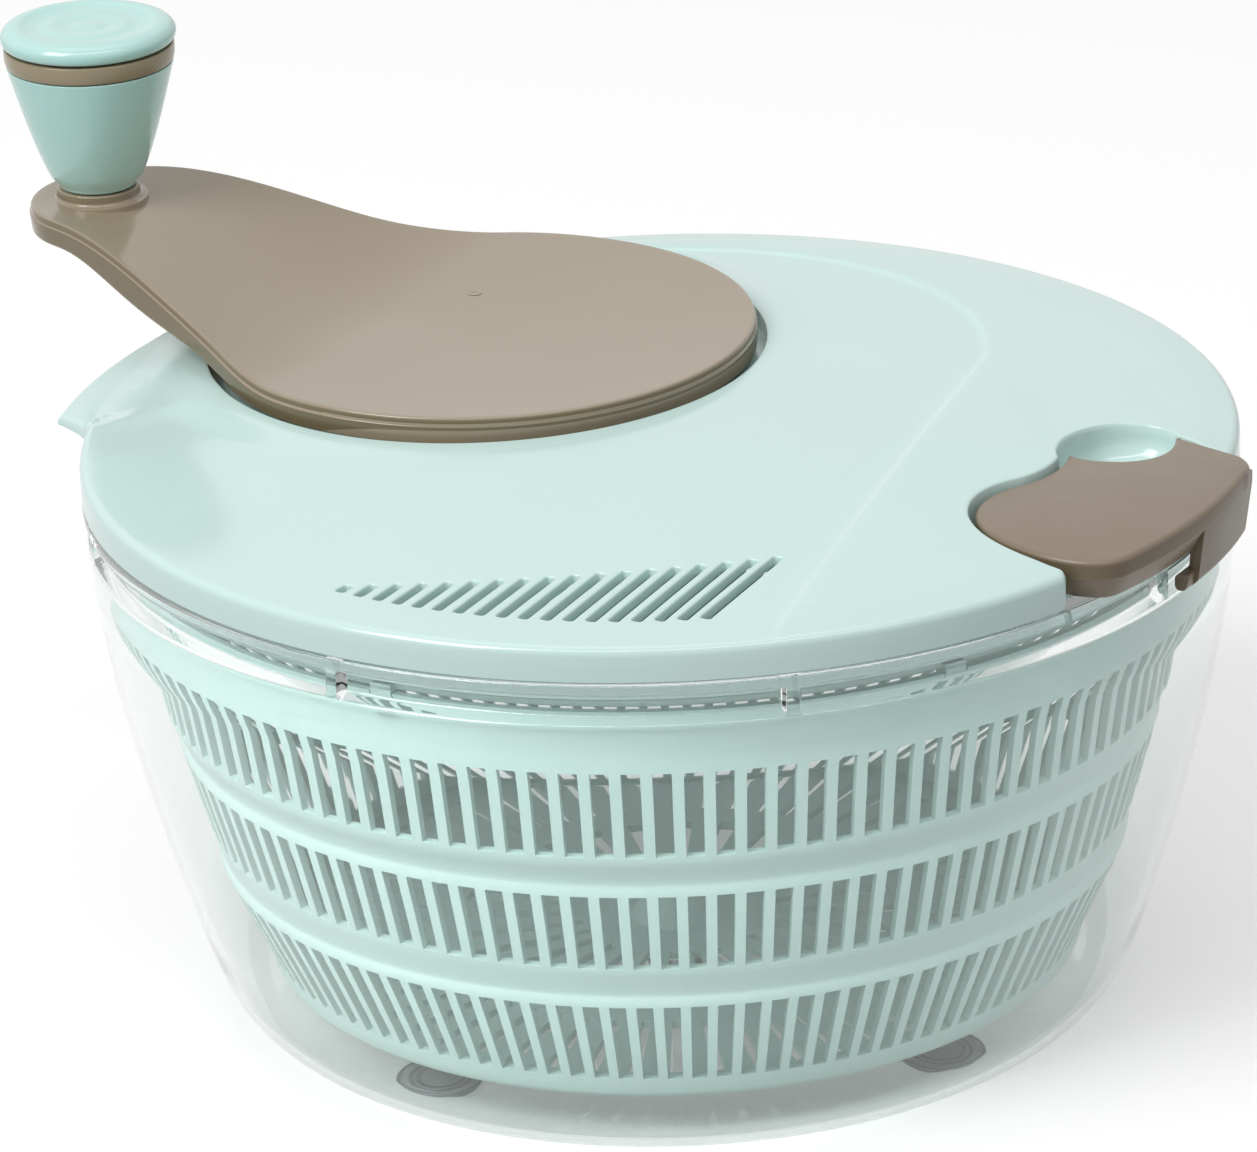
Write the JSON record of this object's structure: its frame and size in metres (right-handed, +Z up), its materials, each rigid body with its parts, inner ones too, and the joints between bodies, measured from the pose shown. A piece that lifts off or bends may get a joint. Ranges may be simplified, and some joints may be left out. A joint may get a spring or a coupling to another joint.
{
  "type": "salad spinner",
  "caption": "Clear bowl with a slotted basket that spins under a domed lid, turned through gears by an off-centre crank with an upright knob; a side latch holds the lid.",
  "frame": {"origin": "centre of the flat underside of the bowl, on the basket's axis; the feet reach 1.2 mm lower", "axes": "+Z up along the bowl's and basket's axis, +X from the knob's side towards the latch's side, -Y is the near side with the vents"},
  "size_m": [0.2798, 0.26, 0.2047],
  "materials": {
    "clear_bowl": "clear, polished",
    "mint": "satin gloss, pale mint",
    "taupe": "satin gloss, warm grey",
    "white": "moulded nylon, off-white",
    "steel": "plain stainless",
    "foot_rubber": "soft grey"
  },
  "bodies": {
    "bowl": {"bowl": "clear_bowl", "foot_1": "foot_rubber", "foot_2": "foot_rubber", "foot_3": "foot_rubber", "foot_4": "foot_rubber"},
    "basket": {"basket": "mint"},
    "lid": {"lid_cover": "mint", "gear_cover": "white", "cover_screw_1": "steel", "cover_screw_2": "steel", "cover_screw_3": "steel", "cover_screw_4": "steel", "centre_axle": "steel", "plate_washer": "steel", "plate_screw": "steel"},
    "drive": {"drive_pinion": "white", "drive_plate": "mint"},
    "crank": {"crank_arm": "taupe", "drive_gear": "white", "crank_washer": "steel", "crank_screw": "steel", "knob_axle": "steel"},
    "knob": {"knob_body": "mint", "knob_ring": "taupe", "knob_cap": "mint"},
    "latch": {"latch": "taupe", "latch_washer": "steel", "latch_screw": "steel"}
  },
  "joints": [
    {"name": "basket_spin", "type": "hinge", "parent": "bowl", "child": "basket", "pos_m": [0, 0, 0.015], "axis": [0, 0, 1], "continuous": true},
    {"name": "lid_lift", "type": "slide", "parent": "bowl", "child": "lid", "axis": [0, 0, 1], "range_m": [0, 0.15]},
    {"name": "drive_spin", "type": "hinge", "parent": "lid", "child": "drive", "pos_m": [0, 0, 0.12], "axis": [0, 0, 1], "continuous": true},
    {"name": "crank_spin", "type": "hinge", "parent": "lid", "child": "crank", "pos_m": [-0.03872, 0.04714, 0.135], "axis": [0, 0, 1], "continuous": true},
    {"name": "knob_spin", "type": "hinge", "parent": "crank", "child": "knob", "pos_m": [-0.1294, 0.09274, 0.18], "axis": [0, 0, 1], "continuous": true},
    {"name": "latch_swing", "type": "hinge", "parent": "lid", "child": "latch", "pos_m": [0.08299, -0.08203, 0.13], "axis": [0, 0, -1], "range_deg": [0, 4]}
  ],
  "couplings": [
    {"joint": "drive_spin", "follows": "crank_spin", "ratio": -3.6923},
    {"joint": "basket_spin", "follows": "crank_spin", "ratio": -3.6923}
  ]
}
